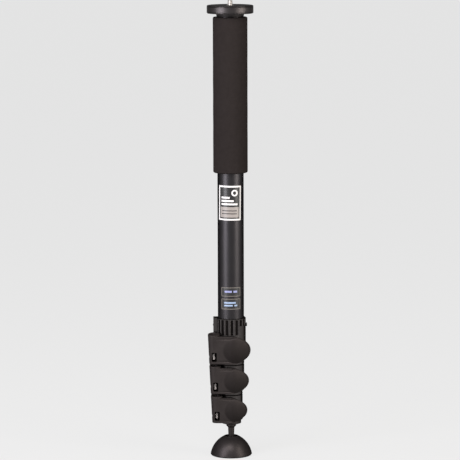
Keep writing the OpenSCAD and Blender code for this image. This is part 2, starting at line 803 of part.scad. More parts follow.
module foot_stem() {
    shoulder = ball_z + ball_flat + run;
    bevel = stem_collar_r - stem_top_r;
    color(black_anodised) {
        translate([0, 0, shoulder - ball_pin_len]) cylinder(r = ball_pin_r, h = ball_pin_len);
        translate([0, 0, shoulder])
            cylinder(r1 = stem_low_r, r2 = stem_top_r, h = stem_collar_z - shoulder);
        translate([0, 0, stem_collar_z]) cylinder(r1 = stem_top_r, r2 = stem_collar_r, h = bevel);
        translate([0, 0, stem_collar_z + bevel])
            cylinder(r = stem_collar_r, h = stem_collar_h - bevel - fit);
        translate([0, 0, nose_z - fit]) cylinder(r = thread_r, h = thread_len + fit);
    }
}

module foot_ball() {
    color(steel) difference() {
        translate([0, 0, ball_z]) sphere(r = ball_r);
        translate([-ball_r, -ball_r, ball_z + ball_flat]) cube(2 * ball_r);
        translate([0, 0, ball_z + ball_flat - ball_pin_len - pass])
            cylinder(r = ball_pin_r + run, h = ball_pin_len + pass + cut);
    }
}

// Outside of the dome: an arc drawn in past the axis, with a rounded rim
module dome_profile() {
    rim_z = rim_lift + rim_round;
    arc_x = dome_r - sqrt(pow(dome_arc_r, 2) - pow(rim_z + dome_sink, 2));
    intersection() {
        translate([arc_x, -dome_sink]) circle(r = dome_arc_r, $fn = 120);
        translate([0, rim_z]) square([dome_r, dome_h - rim_z]);
    }
    translate([0, rim_lift]) square([dome_r - rim_round, rim_round]);
    translate([dome_r - rim_round, rim_z]) intersection() {
        circle(r = rim_round);
        translate([0, -rim_round]) square(rim_round);
    }
}

module foot_dome() {
    color(foot_rubber) difference() {
        rotate_extrude() dome_profile();
        translate([0, 0, -cut]) cylinder(r = sole_r + fit, h = sole_top + fit + cut);
        cylinder(r = socket_r + fit, h = socket_top + fit);
        translate([0, 0, socket_top])
            cylinder(r1 = mouth_r - mouth_taper, r2 = mouth_r, h = dome_h - socket_top);
        translate([0, 0, dome_h - fit]) cylinder(r = mouth_r, h = cut);
        sole_screw_places()
            translate([0, 0, sole_top]) cylinder(r = screw_r + fit, h = sole_screw_len + pass);
    }
}

module sole_screw_places() {
    for (k = [0:sole_screw_count - 1]) rotate([0, 0, 90 + 360 * k / sole_screw_count])
        translate([sole_screw_at, 0, 0]) children();
}

module upper_socket() {
    opening_z = sqrt(pow(ball_r, 2) - pow(socket_open_r, 2));
    color(nylon) difference() {
        translate([0, 0, ball_z]) cylinder(r = socket_r, h = socket_top - ball_z);
        translate([0, 0, ball_z]) sphere(r = ball_r + run);
        translate([0, 0, ball_z + opening_z - cut]) cylinder(
            r1 = socket_open_r, r2 = mouth_r - mouth_taper, h = socket_top - ball_z - opening_z + 2 * cut);
    }
}

module lower_socket() {
    color(nylon) difference() {
        translate([0, 0, sole_top + fit]) cylinder(r = socket_r, h = ball_z - sole_top - 2 * fit);
        translate([0, 0, ball_z]) sphere(r = ball_r + run);
    }
}

module sole_plate() {
    color(black_plastic) difference() {
        translate([0, 0, pad_t + fit]) cylinder(r = sole_r, h = sole_top - pad_t - fit);
        sole_screw_places() {
            translate([0, 0, pad_t]) cylinder(r = screw_r + fit, h = sole_top);
            translate([0, 0, pad_t + fit - cut]) cylinder(r = screw_head_r + fit, h = cut);
            translate([0, 0, pad_t + fit])
                cylinder(r1 = screw_head_r + fit, r2 = screw_r + fit, h = sole_screw_bevel);
        }
    }
}

module sole_screws() {
    color(steel) sole_screw_places() {
        translate([0, 0, pad_t + fit]) cylinder(r1 = screw_head_r, r2 = screw_r, h = sole_screw_bevel);
        translate([0, 0, pad_t + fit + sole_screw_bevel])
            cylinder(r = screw_r, h = sole_top + sole_screw_len - pad_t - fit - sole_screw_bevel);
    }
}

module sole_pad() {
    color(foot_rubber) cylinder(r = sole_r, h = pad_t);
}

camera_stud();
top_plate();
stud_set_screw();
plate_grub_screws();
top_tube();
foam_grip();
main_label();
upper_sticker();
lower_sticker();
upper_collar();
upper_shim();
upper_t_bolt();
upper_nut();
upper_lever();
upper_collar_screw();
upper_clamp_screw();
second_tube();
second_bush();
middle_collar();
middle_shim();
middle_t_bolt();
middle_nut();
middle_lever();
middle_collar_screw();
third_tube();
third_bush();
lower_collar();
lower_shim();
lower_t_bolt();
lower_nut();
lower_lever();
lower_collar_screw();
bottom_tube();
bottom_bush();
end_plug();
foot_stem();
foot_ball();
foot_dome();
upper_socket();
lower_socket();
sole_plate();
sole_screws();
sole_pad();
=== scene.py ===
import json
import math

import bmesh
import bpy
import numpy as np
from mathutils import Matrix, Vector


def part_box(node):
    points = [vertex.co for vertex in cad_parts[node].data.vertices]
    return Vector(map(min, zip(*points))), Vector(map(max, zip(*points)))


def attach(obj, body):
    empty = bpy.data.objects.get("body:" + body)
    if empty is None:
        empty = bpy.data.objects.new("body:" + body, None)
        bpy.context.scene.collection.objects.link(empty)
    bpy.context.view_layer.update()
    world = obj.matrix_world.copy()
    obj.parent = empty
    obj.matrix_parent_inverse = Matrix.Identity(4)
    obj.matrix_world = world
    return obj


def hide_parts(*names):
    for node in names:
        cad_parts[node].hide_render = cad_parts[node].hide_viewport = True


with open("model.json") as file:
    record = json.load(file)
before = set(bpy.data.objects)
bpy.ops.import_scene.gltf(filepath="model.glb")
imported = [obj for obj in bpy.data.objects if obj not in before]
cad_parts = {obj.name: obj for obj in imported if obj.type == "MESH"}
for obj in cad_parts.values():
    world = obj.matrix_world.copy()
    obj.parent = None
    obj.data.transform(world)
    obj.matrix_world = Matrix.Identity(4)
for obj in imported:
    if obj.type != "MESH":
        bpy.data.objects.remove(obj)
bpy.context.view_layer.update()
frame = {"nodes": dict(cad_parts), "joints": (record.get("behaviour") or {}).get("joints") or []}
mm = 0.001
joints = {joint["name"]: joint for joint in frame["joints"]}
lockNames = ("upper", "middle", "lower")


# Meshes from whole arrays

usualCrease = 35  # degrees past which an edge stays sharp


def gridQuads(rows, columns):
    # quads between neighbouring rows of closed loops, the last column meeting the first
    row, column = np.meshgrid(np.arange(rows - 1), np.arange(columns), indexing="ij")
    beside = (column + 1) % columns
    near, far = row * columns, (row + 1) * columns
    quads = np.stack([near + column, near + beside, far + beside, far + column], axis=-1)
    return quads.reshape(-1, 4).tolist()


def smoothOver(mesh, crease):
    # smooth shading, with an edge wherever two faces meet at more than the crease angle
    mesh.polygons.foreach_set("use_smooth", np.ones(len(mesh.polygons), dtype=bool))
    mesh.set_sharp_from_angle(angle=math.radians(crease))


def makePiece(name, vertices, faces, crease=usualCrease):
    # merges doubled points, turns the faces outwards and links the finished mesh into the scene
    mesh = bpy.data.meshes.new(name)
    mesh.from_pydata(np.asarray(vertices).reshape(-1, 3).tolist(), [], faces)
    shell = bmesh.new()
    shell.from_mesh(mesh)
    bmesh.ops.remove_doubles(shell, verts=shell.verts, dist=1e-7)
    bmesh.ops.recalc_face_normals(shell, faces=shell.faces)
    shell.to_mesh(mesh)
    shell.free()
    smoothOver(mesh, crease)
    piece = bpy.data.objects.new(name, mesh)
    bpy.context.scene.collection.objects.link(piece)
    return piece


def loft(name, rings, crease=usualCrease):
    # a stack of closed rings (rows, columns, 3), closed by a flat cap at each end
    rows, columns = rings.shape[:2]
    caps = [list(range(columns)), list(range((rows - 1) * columns, rows * columns))]
    return makePiece(name, rings, gridQuads(rows, columns) + caps, crease)


def revolve(name, profile, segments, crease=usualCrease):
    # a closed outline of (radius, height) carried once round the Z axis
    turn = np.linspace(0, 2 * math.pi, segments, endpoint=False)[:, None]
    radius, height = profile[:, 0], profile[:, 1]
    ring = np.stack([radius * np.sin(turn), -radius * np.cos(turn), height + 0 * turn], axis=-1)
    rings = np.concatenate([ring, ring[:1]])
    return makePiece(name, rings, gridQuads(segments + 1, len(profile)), crease)


def roundedOutline(corners, steps):
    # straight sides, each corner (x, y, rounding) turned into an arc that touches both of its sides
    points = np.array([corner[:2] for corner in corners])
    before = np.roll(points, 1, axis=0) - points
    after = np.roll(points, -1, axis=0) - points
    before /= np.linalg.norm(before, axis=1, keepdims=True)
    after /= np.linalg.norm(after, axis=1, keepdims=True)
    rounding = np.array([corner[2] for corner in corners])[:, None]
    half = np.arccos(np.clip(np.sum(before * after, axis=1, keepdims=True), -1, 1)) / 2
    middle = before + after
    middle /= np.linalg.norm(middle, axis=1, keepdims=True)
    centre = points + middle * rounding / np.sin(half)
    sweep = (math.pi / 2 - half) * np.linspace(-1, 1, steps)
    across = before - middle * np.sum(before * middle, axis=1, keepdims=True)
    across /= np.linalg.norm(across, axis=1, keepdims=True)
    arcs = centre[:, None] - rounding[:, None] * (
        middle[:, None] * np.cos(sweep)[..., None] + across[:, None] * np.sin(sweep)[..., None])
    return arcs.reshape(-1, 2)


def prism(name, outline, low, high, axis):
    # a flat outline carried along one axis; the outline's two numbers are the other two coordinates in order
    rings = np.insert(np.stack([outline, outline]), axis, 0.0, axis=-1)
    rings[0, :, axis] = low
    rings[1, :, axis] = high
    return loft(name, rings)


def circleOutline(radius, centre, sides):
    # points at even turns round the centre
    turn = np.linspace(0, 2 * math.pi, sides, endpoint=False)
    return np.stack([centre[0] + radius * np.cos(turn), centre[1] + radius * np.sin(turn)], axis=-1)


def boolean(piece, operation, tools, crease):
    # joins the tools to the piece, or takes them out of it, and keeps the finished mesh
    for tool in tools:
        step = piece.modifiers.new("tool", "BOOLEAN")
        step.operation = operation
        step.solver = "EXACT"
        step.object = tool
    bpy.context.view_layer.update()
    graph = bpy.context.evaluated_depsgraph_get()
    finished = bpy.data.meshes.new_from_object(piece.evaluated_get(graph))
    piece.modifiers.clear()
    piece.data = finished
    smoothOver(finished, crease)
    for tool in tools:
        bpy.data.objects.remove(tool)


def vertexPlaces(piece):
    # the mesh's points as rows of x, y and z
    places = np.empty(3 * len(piece.data.vertices))
    piece.data.vertices.foreach_get("co", places)
    return places.reshape(-1, 3)


def coat(piece, finish):
    piece.data.materials.clear()
    piece.data.materials.append(finish)


def dress(piece, finish, slot, body, *nodes):
    # finish, record slot (not used), body and the nodes that the piece stands for
    coat(piece, finish)
    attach(piece, body)
    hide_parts(*nodes)


# Shader maths

class Wire:
    # one output socket; an expression on wires adds Math nodes to their tree
    def __init__(self, sheet, socket):
        self.sheet = sheet
        self.socket = socket

    def math(self, operation, first, second):
        return self.sheet.node("ShaderNodeMath", {"operation": operation}, {0: first, 1: second})

    def __add__(self, other):
        return self.math("ADD", self, other)

    def __radd__(self, other):
        return self.math("ADD", other, self)

    def __sub__(self, other):
        return self.math("SUBTRACT", self, other)

    def __rsub__(self, other):
        return self.math("SUBTRACT", other, self)

    def __mul__(self, other):
        return self.math("MULTIPLY", self, other)

    def __rmul__(self, other):
        return self.math("MULTIPLY", other, self)

    def __pow__(self, other):
        return self.math("POWER", self, other)


class Finish:
    # one material, its shader and the wires that feed it
    def __init__(self, name, **constants):
        self.material = bpy.data.materials.new(name)
        self.material.use_nodes = True
        self.tree = self.material.node_tree
        self.shader = self.tree.nodes["Principled BSDF"]
        for socket, value in constants.items():
            self.feed(socket.replace("_", " "), value)

    def node(self, kind, settings=None, sockets=None, output=0):
        made = self.tree.nodes.new(kind)
        for key, value in (settings or {}).items():
            setattr(made, key, value)
        for key, value in (sockets or {}).items():
            self.join(made.inputs[key], value)
        return Wire(self, made.outputs[output])

    def join(self, socket, value):
        if isinstance(value, Wire):
            self.tree.links.new(value.socket, socket)
        elif isinstance(value, tuple) and socket.type == "RGBA":
            socket.default_value = (*value, 1.0)
        else:
            socket.default_value = value

    def feed(self, socket, value):
        self.join(self.shader.inputs[socket], value)

    def place(self):
        return self.node("ShaderNodeTexCoord", output="Object")

    def parts(self, vector):
        split = self.node("ShaderNodeSeparateXYZ", None, {0: vector})
        return [Wire(self, socket) for socket in split.socket.node.outputs]

    def noise(self, scale, detail=4.0, vector=None):
        sockets = {"Vector": vector or self.place(), "Scale": scale, "Detail": detail, "Roughness": 0.55}
        return self.node("ShaderNodeTexNoise", None, sockets)

    def streaks(self, scales, detail):
        # noise with a scale of its own along each axis
        stretched = self.node("ShaderNodeMapping", None, {"Vector": self.place(), "Scale": scales})
        return self.noise(1.0, detail, stretched)

    def cells(self, scale):
        return self.node("ShaderNodeTexVoronoi", None, {"Vector": self.place(), "Scale": scale})

    def mark(self, attribute):
        # a number that the mesh carries on its vertices, 0 where it has none
        return self.node("ShaderNodeAttribute", {"attribute_name": attribute}, output="Fac")

    def mix(self, amount, first, second):
        sockets = {"Factor": amount, 6: first, 7: second}
        return self.node("ShaderNodeMix", {"data_type": "RGBA", "clamp_factor": True}, sockets, output=2)

    def band(self, value, low, high):
        # 0 below low, 1 above high and a straight climb between
        sockets = {"Value": value, "From Min": low, "From Max": high}
        return self.node("ShaderNodeMapRange", {"clamp": True}, sockets)

    def bump(self, height, distance, strength):
        sockets = {"Height": height, "Distance": distance, "Strength": strength}
        self.feed("Normal", self.node("ShaderNodeBump", None, sockets))


# Finishes

def anodisedTube():
    # satin black: fine lengthwise drawing lines, a faint bloom and a few lighter rubs
    look = {"dark": (0.0332, 0.031, 0.0332), "worn": (0.0468, 0.0444, 0.0463), "rough": 0.33,
            "lineScales": (2600.0, 2600.0, 14.0), "lineDepth": 0.008 * mm, "bloomScale": 60.0,
            "rubScales": (700.0, 700.0, 90.0), "rubBand": (0.6, 0.78)}
    finish = Finish("anodised tube", Metallic=1.0, Specular_Tint=(0.0, 0.0, 0.0))
    lines = finish.streaks(look["lineScales"], detail=5.0)
    bloom = finish.noise(look["bloomScale"], detail=3.0)
    rubs = finish.band(finish.streaks(look["rubScales"], detail=6.0), *look["rubBand"])
    finish.feed("Base Color", finish.mix(0.55 * bloom + 0.3 * rubs, look["dark"], look["worn"]))
    finish.feed("Roughness", look["rough"] + 0.06 * bloom + 0.05 * lines)
    finish.bump(lines, look["lineDepth"], strength=0.5)
    return finish.material


def turnedPlate():
    # black plate turned on a lathe: fine rings about the axis, rubbed high spots and a rougher neck under it,
    # darkened by painted shade
    look = {"dark": (0.0443, 0.04, 0.0405), "rubbed": (0.0698, 0.0651, 0.0643), "rough": 0.36,
            "neck": (0.036, 0.0325, 0.0325), "neckBelow": (10.2 * mm, 9.5 * mm),
            "ringScale": 5200.0, "ringDepth": 0.012 * mm, "rubScale": 240.0, "rubBand": (0.56, 0.74)}
    finish = Finish("turned plate", Metallic=1.0, Specular_Tint=(0.55, 0.55, 0.55))
    x, y, z = finish.parts(finish.place())
    radius = (x * x + y * y) ** 0.5
    sockets = {"W": radius + 0.7 * z, "Scale": look["ringScale"]}
    rings = finish.node("ShaderNodeTexNoise", {"noise_dimensions": "1D"}, sockets)
    rubbed = finish.band(finish.noise(look["rubScale"], detail=6.0), *look["rubBand"])
    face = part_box("top_plate")[1].z
    neck = 1 - finish.band(z, *[face - below for below in look["neckBelow"]])
    disc = finish.mix(0.6 * rubbed, look["dark"], look["rubbed"])
    # painted shade: the neck under the plate is darker, and it is also rougher
    finish.feed("Base Color", finish.mix(neck, disc, look["neck"]))
    finish.feed("Roughness", look["rough"] + 0.1 * rings + 0.06 * rubbed + 0.1 * neck)
    finish.bump(rings, look["ringDepth"], strength=0.5)
    return finish.material


def closedFoam():
    # closed-cell foam: pale dust in small open cells over a soft mottled black
    look = {"deep": (0.009, 0.0073, 0.007), "pale": (0.0195, 0.016, 0.0155), "rough": 0.78,
            "mottleScale": 190.0, "cellScale": 2300.0, "grainScale": 2400.0, "cellDepth": 0.09 * mm}
    finish = Finish("closed foam", Specular_IOR_Level=0.0)
    mottle = finish.noise(look["mottleScale"], detail=6.0)
    cells = finish.cells(look["cellScale"])
    grain = finish.noise(look["grainScale"], detail=3.0)
    finish.feed("Base Color", finish.mix(0.5 * mottle + 0.45 * cells, look["deep"], look["pale"]))
    finish.feed("Roughness", look["rough"] + 0.14 * grain)
    finish.bump(cells + 0.6 * grain, look["cellDepth"], strength=0.7)
    return finish.material


plastic = {"toneScale": 95.0, "rubScale": 330.0, "rubBand": (0.58, 0.72), "grime": (0.0055, 0.0046, 0.0044),
           "thumbGrime": 0.75, "wellBand": (0.1, 0.9), "sunk": 0.8 * mm, "flush": 0.25 * mm}
moulded = {
    "end": {"dark": (0.0231, 0.0203, 0.0195), "pale": (0.0465, 0.0405, 0.039), "rough": 0.34,
            "grainScale": 2000.0, "grainDepth": 0.012 * mm, "shine": 0.74, "rim": 0.0},
    "lever": {"dark": (0.0182, 0.0154, 0.015), "pale": (0.0341, 0.0294, 0.0285), "rough": 0.48,
              "grainScale": 2400.0, "grainDepth": 0.018 * mm, "shine": 0.5, "rim": 0.3},
    "collar": {"dark": (0.0515, 0.0465, 0.0454), "pale": (0.0694, 0.0633, 0.0616), "rough": 0.13,
               "grainScale": 2400.0, "grainDepth": 0.0018 * mm, "shine": 0.92, "rim": 0.0},
}


def mouldedPlastic(name, look, skin=None):
    # black lacquer on moulded parts: spark-eroded grain, slow shifts of tone and polish on the rubbed places;
    # shine is the share that mirrors, the rest scatters, and rim is how far grazing light is mirrored;
    # painted shade darkens the thumb pad towards its foot and the window with depth or, given a skin radius,
    # all that is sunk below it
    finish = Finish(name, Metallic=look["shine"], Specular_IOR_Level=0.0, Specular_Tint=(look["rim"],) * 3)
    grain = finish.noise(look["grainScale"], detail=3.0)
    tone = finish.noise(plastic["toneScale"], detail=5.0)
    rubbed = finish.band(finish.noise(plastic["rubScale"], detail=5.0), *plastic["rubBand"])
    roughness = look["rough"] + 0.1 * grain - 0.1 * rubbed
    if skin:
        x, y, _ = finish.parts(finish.place())
        radius = (x * x + y * y) ** 0.5
        # painted shade, with more roughness, in the grooves and all else sunk below the collar's skin
        paintedShade = 1 - finish.band(radius, skin - plastic["sunk"], skin - plastic["flush"])
        roughness = roughness + 0.4 * paintedShade
    else:
        # painted shade on the thumb pad, darker towards the pad's foot; the same mark makes the pad a little
        # smoother
        padShadeAndPolish = finish.mark("pad")
        # painted shade in the window, darker the deeper inside it
        paintedShade = plastic["thumbGrime"] * padShadeAndPolish + finish.band(finish.mark("well"), *plastic["wellBand"])
        roughness = roughness - 0.06 * padShadeAndPolish
    clean = finish.mix(0.75 * tone + 0.15 * grain, look["dark"], look["pale"])
    # painted shade: the lacquer's colour is mixed towards a near-black shade tone by the shade mask above
    finish.feed("Base Color", finish.mix(paintedShade, clean, plastic["grime"]))
    finish.feed("Roughness", roughness)
    finish.bump(grain, look["grainDepth"], strength=0.6)
    return finish.material


def lockPlastic(lockName):
    # glossy lacquer of one collar, with painted shade below the collar's skin
    skin = -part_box(lockName + "_collar")[0].y
    return mouldedPlastic(lockName + " lock plastic", moulded["collar"], skin)


def brightSteel():
    # plated steel: fine drawing marks and faint grey stains
    look = {"bright": (0.62, 0.6, 0.58), "stained": (0.4, 0.38, 0.36), "rough": 0.38,
            "markScales": (3200.0, 3200.0, 500.0), "markDepth": 0.01 * mm, "stainScale": 420.0,
            "stainBand": (0.45, 0.75)}
    finish = Finish("bright steel", Metallic=1.0)
    marks = finish.streaks(look["markScales"], detail=4.0)
    stains = finish.band(finish.noise(look["stainScale"], detail=5.0), *look["stainBand"])
    finish.feed("Base Color", finish.mix(stains, look["bright"], look["stained"]))
    finish.feed("Roughness", look["rough"] + 0.14 * marks + 0.1 * stains)
    finish.bump(marks, look["markDepth"], strength=0.5)
    return finish.material


def zincSteel():
    # dull zinc on the lock bars: pale, a little dusty, with darker handling marks
    look = {"pale": (0.6, 0.55, 0.53), "marked": (0.4, 0.36, 0.345), "rough": 0.42,
            "dustScale": 1500.0, "dustDepth": 0.008 * mm, "markScale": 380.0, "markBand": (0.55, 0.8)}
    finish = Finish("zinc steel", Metallic=0.35, Specular_IOR_Level=0.5)
    dust = finish.noise(look["dustScale"])
    marked = finish.band(finish.noise(look["markScale"], detail=5.0), *look["markBand"])
    finish.feed("Base Color", finish.mix(0.6 * marked + 0.2 * dust, look["pale"], look["marked"]))
    finish.feed("Roughness", look["rough"] + 0.16 * dust)
    finish.bump(dust, look["dustDepth"], strength=0.4)
    return finish.material


def blackSteel():
    # blackened screws: oily black with rubbed steel showing at the high spots
    look = {"black": (0.018, 0.017, 0.017), "rubbed": (0.13, 0.125, 0.12), "rough": 0.38,
            "rubScale": 900.0, "rubBand": (0.58, 0.75), "rubDepth": 0.01 * mm, "oilScale": 1500.0}
    finish = Finish("black steel", Metallic=0.6)
    rubbed = finish.band(finish.noise(look["rubScale"], detail=5.0), *look["rubBand"])
    finish.feed("Base Color", finish.mix(0.6 * rubbed, look["black"], look["rubbed"]))
    finish.feed("Roughness", look["rough"] + 0.12 * finish.noise(look["oilScale"]))
    finish.bump(rubbed, look["rubDepth"], strength=0.4)
    return finish.material


def guideNylon():
    # milky nylon with flow marks from the mould
    look = {"milk": (0.66, 0.65, 0.6), "flow": (0.54, 0.53, 0.48), "rough": 0.4, "flowScale": 140.0,
            "grainScale": 1800.0, "grainDepth": 0.01 * mm}
    finish = Finish("guide nylon", Subsurface_Weight=0.15, Subsurface_Scale=1.5 * mm)
    flow = finish.noise(look["flowScale"], detail=5.0)
    finish.feed("Base Color", finish.mix(flow, look["milk"], look["flow"]))
    finish.feed("Roughness", look["rough"] + 0.15 * flow)
    finish.bump(finish.noise(look["grainScale"]), look["grainDepth"], strength=0.4)
    return finish.material


def footRubber():
    # satin rubber: soft bloom, fine pits and scuffs that thicken towards the floor
    look = {"dark": (0.0179, 0.0156, 0.0156), "pale": (0.0423, 0.037, 0.0373), "rough": 0.38,
            "bloomScale": 130.0, "scuffScales": (420.0, 420.0, 1500.0), "scuffBand": (0.52, 0.7),
            "scuffHeights": (1 * mm, 9 * mm), "pitScale": 2600.0, "pitDepth": 0.02 * mm}
    finish = Finish("foot rubber", Metallic=0.7, Specular_IOR_Level=0.0, Specular_Tint=(0.0, 0.0, 0.0))
    height = finish.parts(finish.place())[2]
    bloom = finish.noise(look["bloomScale"], detail=6.0)
    low = 1.0 - finish.band(height, *look["scuffHeights"])
    scuffs = finish.band(finish.streaks(look["scuffScales"], detail=6.0), *look["scuffBand"]) * low
    pits = finish.cells(look["pitScale"])
    finish.feed("Base Color", finish.mix(0.6 * bloom + 0.4 * scuffs, look["dark"], look["pale"]))
    finish.feed("Roughness", look["rough"] + 0.08 * bloom + 0.2 * scuffs)
    finish.bump(pits + 0.5 * scuffs, look["pitDepth"], strength=0.5)
    return finish.material


finishes = {
    "plate_black": turnedPlate(),
    "tube_black": anodisedTube(),
    "end_black": mouldedPlastic("end black", moulded["end"]),
    "grip_foam": closedFoam(),
    "lever_plastic": mouldedPlastic("lever plastic", moulded["lever"]),
    "bright_steel": brightSteel(),
    "black_steel": blackSteel(),
    "guide_nylon": guideNylon(),
    "foot_rubber": footRubber(),
}
lockSteel = zincSteel()
slotNodes = {
    "plate_black": ["top_plate"],
    "tube_black": ["top_tube", "second_tube", "third_tube", "bottom_tube"],
    "end_black": ["end_plug", "foot_stem", "sole_plate"],
    "bright_steel": ["foot_ball", "plate_grub_screws", "stud_set_screw", "sole_screws"],
    "black_steel": ["upper_clamp_screw"],
    "guide_nylon": ["second_bush", "third_bush", "bottom_bush", "upper_socket", "lower_socket"],
}
coats = {nodeName: finishes[slotName] for slotName, nodeNames in slotNodes.items() for nodeName in nodeNames}
for lockName in lockNames:
    coats[lockName + "_collar"] = lockPlastic(lockName)
    coats[lockName + "_collar_screw"] = finishes["black_steel"]
    coats[lockName + "_shim"] = finishes["guide_nylon"]
    coats[lockName + "_t_bolt"] = lockSteel
    coats[lockName + "_nut"] = lockSteel
for nodeName, nodeFinish in coats.items():
    coat(frame["nodes"][nodeName], nodeFinish)
print("finishes on the carried-over nodes:", len(coats))


# Camera stud

stud = {"radius": 3.175 * mm, "pitch": 1.27 * mm, "depth": 0.7 * mm, "flat": 0.1, "start": 0.02 * mm,
        "lead": 0.8 * mm, "leadCurve": 1.5, "leadDepth": 1.2, "base": 4.7625 * mm, "baseEdge": 0.25 * mm,
        "root": 0.9, "rootRise": 0.01 * mm, "rows": 120, "columns": 96, "crease": 50}


def cameraStud():
    # radius falls from the crest by a V of the height less the turn's share of one pitch, its crest and root
    # cut flat; the top is led in and the base is a plain disc
    low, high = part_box("camera_stud")
    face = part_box("top_plate")[1].z
    height = np.linspace(face + stud["start"], high.z, stud["rows"])[:, None]
    turn = np.linspace(0, 2 * math.pi, stud["columns"], endpoint=False)[None, :]
    phase = ((height - face) / stud["pitch"] - turn / (2 * math.pi)) % 1.0
    groove = np.clip((np.abs(2 * phase - 1) - stud["flat"]) / (1 - 2 * stud["flat"]), 0, 1)
    lead = np.clip((high.z - height) / stud["lead"], 0, 1)
    led = (1 - lead) ** stud["leadCurve"] * stud["leadDepth"]
    radius = stud["radius"] - stud["depth"] * np.maximum(groove, led)
    edge = stud["baseEdge"]
    base = np.array([[stud["base"], low.z], [stud["base"], face - edge], [stud["base"] - edge, face],
                     [stud["radius"] * stud["root"], face + stud["rootRise"]]])
    radii = np.concatenate([base[:, :1] + 0 * turn, radius])
    heights = np.concatenate([base[:, 1:], height]) + 0 * turn
    rings = np.stack([radii * np.sin(turn), -radii * np.cos(turn), heights], axis=-1)
    piece = loft("threaded_stud", rings, stud["crease"])
    dress(piece, finishes["bright_steel"], "bright_steel", "upper_leg", "camera_stud")


cameraStud()
print("camera stud threaded")


# Foam grip

grip = {"round": 1.8 * mm, "bore": 0.3 * mm, "play": 0.02 * mm, "wave": 0.12 * mm, "waves": 5,
        "cornerSteps": 10, "rows": 160, "segments": 144}


def foamGrip():
    # a ring whose outer wall draws in a little in waves along its length, with rounded ends
    low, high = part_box("foam_grip")
    outer = high.x
    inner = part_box("top_tube")[1].x + grip["play"]
    corners = [(inner, low.z, grip["bore"]), (outer, low.z, grip["round"]),
               (outer, high.z, grip["round"]), (inner, high.z, grip["bore"])]
    lower, upper = np.split(roundedOutline(corners, grip["cornerSteps"]), 2)
    height = np.linspace(lower[-1, 1], upper[0, 1], grip["rows"] + 2)[1:-1]
    share = (height - low.z) / (high.z - low.z)
    drawn = grip["wave"] * np.sin(grip["waves"] * math.pi * share) ** 2 * np.sin(math.pi * share)
    wall = np.stack([outer - drawn, height], axis=-1)
    piece = revolve("foam_sleeve", np.concatenate([lower, wall, upper]), grip["segments"])
    dress(piece, finishes["grip_foam"], "grip_foam", "upper_leg", "foam_grip")


foamGrip()
print("foam grip turned")


# Labels

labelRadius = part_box("top_tube")[1].x
film = {"lift": 0.13 * mm, "thick": 0.1 * mm, "rows": 49, "columns": 65, "printSoft": 0.12 * mm,
        "dark": (0.007, 0.0067, 0.007), "faded": (0.012, 0.0115, 0.0115), "inkScale": 900.0,
        "waveScale": 500.0, "waveDepth": 0.006 * mm}


def labelFinish(name, paint):
    # paint lays the print over the dark ground; across runs round the tube and up along it, both in metres
    finish = Finish(name, Specular_IOR_Level=0.45, Roughness=0.34)
    across, up, _ = finish.parts(finish.node("ShaderNodeUVMap", {"uv_map": "print"}))
    ink = finish.noise(film["inkScale"])
    ground = finish.mix(0.5 * ink, film["dark"], film["faded"])
    finish.feed("Base Color", paint(finish, ground, across, up, ink))
    finish.bump(finish.noise(film["waveScale"]), film["waveDepth"], strength=0.4)
    return finish.material


def inside(finish, value, low, high):
    # 1 between low and high, with soft edges
    soft = film["printSoft"]
    return finish.band(value, low - soft, low + soft) * (1 - finish.band(value, high - soft, high + soft))


def boxMask(finish, across, up, centre, half):
    # 1 in an upright box of the print
    return (inside(finish, across, centre[0] - half[0], centre[0] + half[0])
            * inside(finish, up, centre[1] - half[1], centre[1] + half[1]))


def frameMask(finish, across, up, half, outset, inset):
    # 1 on a frame between two distances from the label's edge
    whole, core = [boxMask(finish, across, up, (0, 0), (half[0] - distance, half[1] - distance))
                   for distance in (outset, inset)]
    return whole * (1 - core)


def labelFilm(name, node, finish, label):
    # a sheet on the tube: angle and height on a grid, its upper and lower edges drawn in at the corners
    low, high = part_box(node)
    outer = labelRadius + film["lift"]
    facing, lean, corner = math.radians(label["turn"]), math.radians(label["lean"]), label["corner"]
    halfTurn = label["wide"] / 2 / labelRadius
    arc = np.linspace(-halfTurn, halfTurn, film["columns"]) * outer
    halfWide, halfTall = arc[-1], (high.z - low.z) / 2
    toEdge = np.minimum(halfWide - np.abs(arc), corner)
    reach = halfTall - corner + np.sqrt(np.maximum(corner ** 2 - (corner - toEdge) ** 2, 0))
    up = np.linspace(-1, 1, film["rows"])[:, None] * reach[None, :]
    along = arc[None, :] + 0 * up
    tilted = along * math.cos(lean) - up * math.sin(lean)
    raised = along * math.sin(lean) + up * math.cos(lean)
    angle = facing + tilted / outer
    middle = (low.z + high.z) / 2

    def sheet(radius):
        return np.stack([radius * np.sin(angle), -radius * np.cos(angle), middle + raised], axis=-1)

    rows, columns = up.shape
    both = np.concatenate([sheet(outer), sheet(outer - film["thick"])[:, ::-1]], axis=1)
    step = np.arange(columns - 1)
    rim = np.stack([step, step + 1, 2 * columns - 2 - step, 2 * columns - 1 - step], axis=-1)
    ends = rim.tolist() + (rim + (rows - 1) * 2 * columns).tolist()
    piece = makePiece(name, both, gridQuads(rows, 2 * columns) + ends)
    x, y, z = vertexPlaces(piece).T
    spread, rise = (np.arctan2(x, -y) - facing) * outer, z - middle
    flat = np.stack([spread * math.cos(lean) + rise * math.sin(lean),
                     rise * math.cos(lean) - spread * math.sin(lean)], axis=-1)
    corners = np.empty(len(piece.data.loops), dtype=np.int32)
    piece.data.loops.foreach_get("vertex_index", corners)
    piece.data.uv_layers.new(name="print").data.foreach_set("uv", flat[corners].astype(np.float32).ravel())
    dress(piece, finish, "label_print", "upper_leg", node)


